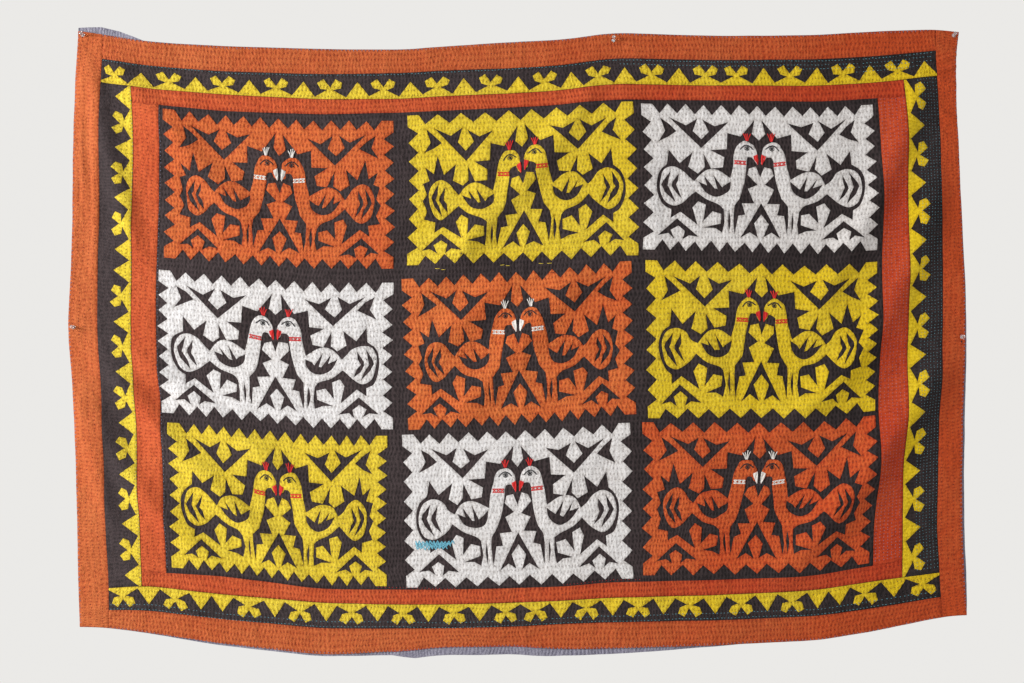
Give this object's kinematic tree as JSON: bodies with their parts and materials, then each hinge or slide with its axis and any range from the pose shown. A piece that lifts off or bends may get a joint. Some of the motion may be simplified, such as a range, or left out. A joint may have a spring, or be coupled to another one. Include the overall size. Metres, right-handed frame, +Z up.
{
  "type": "ralli quilt with push pins",
  "caption": "Patchwork and cut-work wall cover with bird panels in orange, yellow and white on black, in plain and toothed borders, held flat to a wall by clear push pins.",
  "frame": {"origin": "on the plane of the wall, behind the middle of the cover's top edge", "axes": "+X to the right as seen from the front, +Y into the wall, +Z up; the front faces -Y"},
  "size_m": [2.1259, 0.0318, 1.4967],
  "materials": {
    "backing_cloth": "plain grey-lavender woven cotton",
    "orange_cloth": "plain woven cotton, hand quilted",
    "red_cloth": "plain woven cotton, hand quilted",
    "dark_cloth": "plain black woven cotton, hand quilted",
    "yellow_cloth": "plain woven cotton, cut and hemmed down",
    "white_cloth": "plain woven cotton, cut and hemmed down",
    "clear_plastic": "clear moulded plastic",
    "steel": "bright steel wire"
  },
  "bodies": {
    "root": {"backing": "backing_cloth", "orange_strip_left": "orange_cloth", "orange_strip_right": "orange_cloth", "orange_strip_top": "orange_cloth", "orange_strip_bottom": "orange_cloth", "dark_strip_left": "dark_cloth", "dark_strip_right": "dark_cloth", "dark_strip_top": "dark_cloth", "dark_strip_bottom": "dark_cloth", "applique_strip_left": "yellow_cloth", "applique_strip_right": "yellow_cloth", "applique_strip_top": "yellow_cloth", "applique_strip_bottom": "yellow_cloth", "red_strip_left": "red_cloth", "red_strip_right": "red_cloth", "red_strip_top": "red_cloth", "red_strip_bottom": "red_cloth", "ground": "dark_cloth", "panel_1_orange": "orange_cloth", "panel_2_yellow": "yellow_cloth", "panel_3_white": "white_cloth", "panel_4_white": "white_cloth", "panel_5_orange": "orange_cloth", "panel_6_yellow": "yellow_cloth", "panel_7_yellow": "yellow_cloth", "panel_8_white": "white_cloth", "panel_9_orange": "orange_cloth", "push_pin_top_left_grip": "clear_plastic", "push_pin_top_left_needle": "steel", "push_pin_top_middle_grip": "clear_plastic", "push_pin_top_middle_needle": "steel", "push_pin_top_right_grip": "clear_plastic", "push_pin_top_right_needle": "steel", "push_pin_left_grip": "clear_plastic", "push_pin_left_needle": "steel", "push_pin_right_grip": "clear_plastic", "push_pin_right_needle": "steel"}
  },
  "joints": []
}
